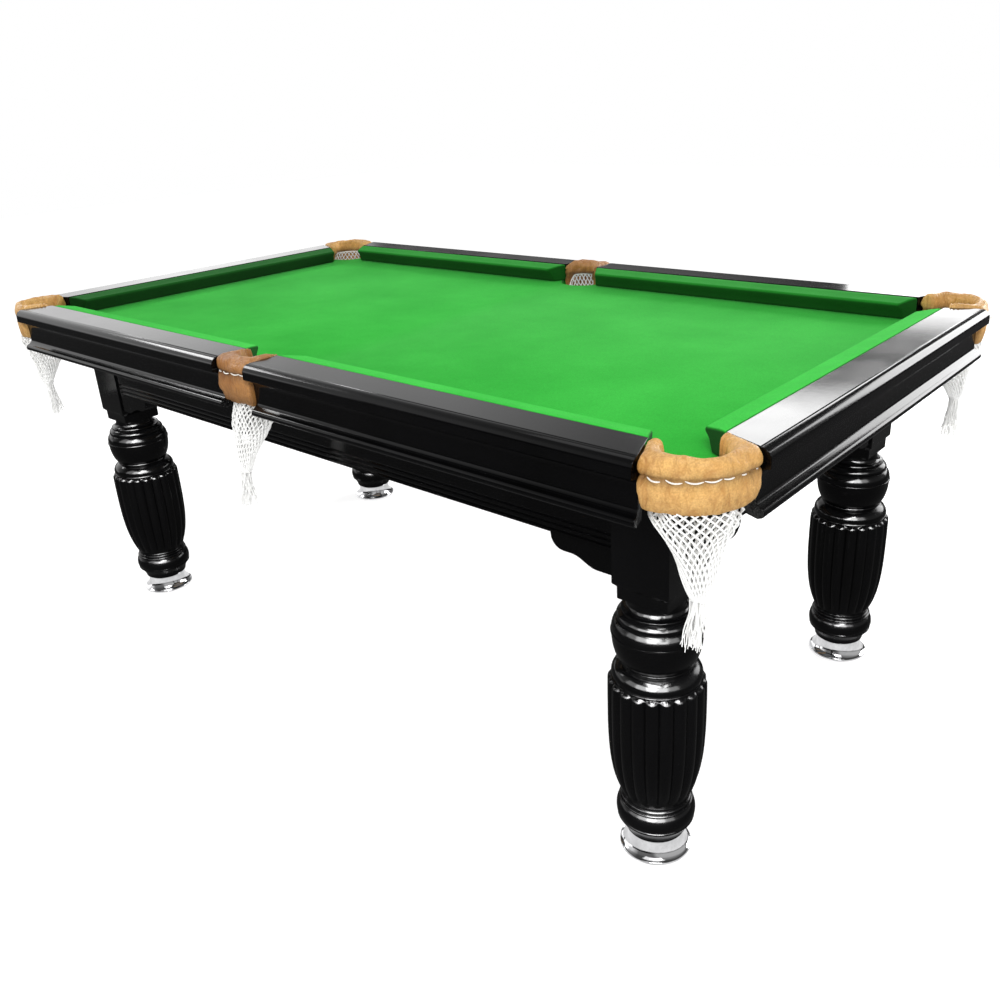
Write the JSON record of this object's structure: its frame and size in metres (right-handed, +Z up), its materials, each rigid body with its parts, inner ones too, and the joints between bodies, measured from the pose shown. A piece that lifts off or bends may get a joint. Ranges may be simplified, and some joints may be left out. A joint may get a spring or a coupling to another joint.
{
  "type": "pool table",
  "caption": "Slate-bed pool table with lacquered rails, padded leather pockets over hanging nets, apron frame and turned legs on screw-adjusted bell feet.",
  "frame": {"origin": "on the floor under the middle of the table", "axes": "+X along the long sides to the right end, +Y to the back long side, +Z up"},
  "size_m": [2.034, 1.156, 0.806],
  "materials": {
    "black_lacquer": "high-gloss black lacquer on wood",
    "green_cloth": "napped bright green wool cloth, over rubber on the cushions",
    "grey_slate": "honed grey slate",
    "tan_leather": "padded and stitched tan leather, lightly wrinkled",
    "black_iron": "black japanned casting",
    "white_cotton": "knotted white cotton cord netting",
    "frame_timber": "plain sawn timber",
    "chrome": "polished chrome",
    "zinc_steel": "zinc-plated steel"
  },
  "bodies": {
    "table": {"slate_left": "grey_slate", "slate_centre": "grey_slate", "slate_right": "grey_slate", "bed_cloth": "green_cloth", "rail_front_left": "black_lacquer", "rail_front_right": "black_lacquer", "rail_back_left": "black_lacquer", "rail_back_right": "black_lacquer", "rail_left_end": "black_lacquer", "rail_right_end": "black_lacquer", "cushion_front_left": "green_cloth", "cushion_front_right": "green_cloth", "cushion_back_left": "green_cloth", "cushion_back_right": "green_cloth", "cushion_left_end": "green_cloth", "cushion_right_end": "green_cloth", "pocket_leather_front_left": "tan_leather", "pocket_iron_front_left": "black_iron", "pocket_net_front_left": "white_cotton", "pocket_leather_front_middle": "tan_leather", "pocket_iron_front_middle": "black_iron", "pocket_net_front_middle": "white_cotton", "pocket_leather_front_right": "tan_leather", "pocket_iron_front_right": "black_iron", "pocket_net_front_right": "white_cotton", "pocket_leather_back_left": "tan_leather", "pocket_iron_back_left": "black_iron", "pocket_net_back_left": "white_cotton", "pocket_leather_back_middle": "tan_leather", "pocket_iron_back_middle": "black_iron", "pocket_net_back_middle": "white_cotton", "pocket_leather_back_right": "tan_leather", "pocket_iron_back_right": "black_iron", "pocket_net_back_right": "white_cotton", "apron_front": "black_lacquer", "apron_back": "black_lacquer", "apron_left": "black_lacquer", "apron_right": "black_lacquer", "bracket_front_a": "black_lacquer", "bracket_front_b": "black_lacquer", "bracket_back_a": "black_lacquer", "bracket_back_b": "black_lacquer", "bracket_left_a": "black_lacquer", "bracket_left_b": "black_lacquer", "bracket_right_a": "black_lacquer", "bracket_right_b": "black_lacquer", "cross_beam_left": "frame_timber", "cross_beam_right": "frame_timber", "leg_front_left": "black_lacquer", "leg_front_right": "black_lacquer", "leg_back_left": "black_lacquer", "leg_back_right": "black_lacquer"},
    "foot_front_left": {"foot_front_left": "chrome"},
    "stem_front_left": {"leveller_stem_front_left": "zinc_steel"},
    "foot_front_right": {"foot_front_right": "chrome"},
    "stem_front_right": {"leveller_stem_front_right": "zinc_steel"},
    "foot_back_left": {"foot_back_left": "chrome"},
    "stem_back_left": {"leveller_stem_back_left": "zinc_steel"},
    "foot_back_right": {"foot_back_right": "chrome"},
    "stem_back_right": {"leveller_stem_back_right": "zinc_steel"}
  },
  "joints": [
    {"name": "foot_front_left_slide", "type": "slide", "parent": "table", "child": "foot_front_left", "axis": [0, 0, -1], "range_m": [0, 0.015]},
    {"name": "stem_front_left_turn", "type": "hinge", "parent": "foot_front_left", "child": "stem_front_left", "pos_m": [-0.807, -0.384, 0.06], "axis": [0, 0, -1], "range_deg": [0, 2701]},
    {"name": "foot_front_right_slide", "type": "slide", "parent": "table", "child": "foot_front_right", "axis": [0, 0, -1], "range_m": [0, 0.015]},
    {"name": "stem_front_right_turn", "type": "hinge", "parent": "foot_front_right", "child": "stem_front_right", "pos_m": [0.807, -0.384, 0.06], "axis": [0, 0, -1], "range_deg": [0, 2701]},
    {"name": "foot_back_left_slide", "type": "slide", "parent": "table", "child": "foot_back_left", "axis": [0, 0, -1], "range_m": [0, 0.015]},
    {"name": "stem_back_left_turn", "type": "hinge", "parent": "foot_back_left", "child": "stem_back_left", "pos_m": [-0.807, 0.384, 0.06], "axis": [0, 0, -1], "range_deg": [0, 2701]},
    {"name": "foot_back_right_slide", "type": "slide", "parent": "table", "child": "foot_back_right", "axis": [0, 0, -1], "range_m": [0, 0.015]},
    {"name": "stem_back_right_turn", "type": "hinge", "parent": "foot_back_right", "child": "stem_back_right", "pos_m": [0.807, 0.384, 0.06], "axis": [0, 0, -1], "range_deg": [0, 2701]}
  ],
  "couplings": [
    {"joint": "stem_front_left_turn", "follows": "foot_front_left_slide", "rad_per_m": 3141.6},
    {"joint": "stem_front_right_turn", "follows": "foot_front_right_slide", "rad_per_m": 3141.6},
    {"joint": "stem_back_left_turn", "follows": "foot_back_left_slide", "rad_per_m": 3141.6},
    {"joint": "stem_back_right_turn", "follows": "foot_back_right_slide", "rad_per_m": 3141.6}
  ]
}
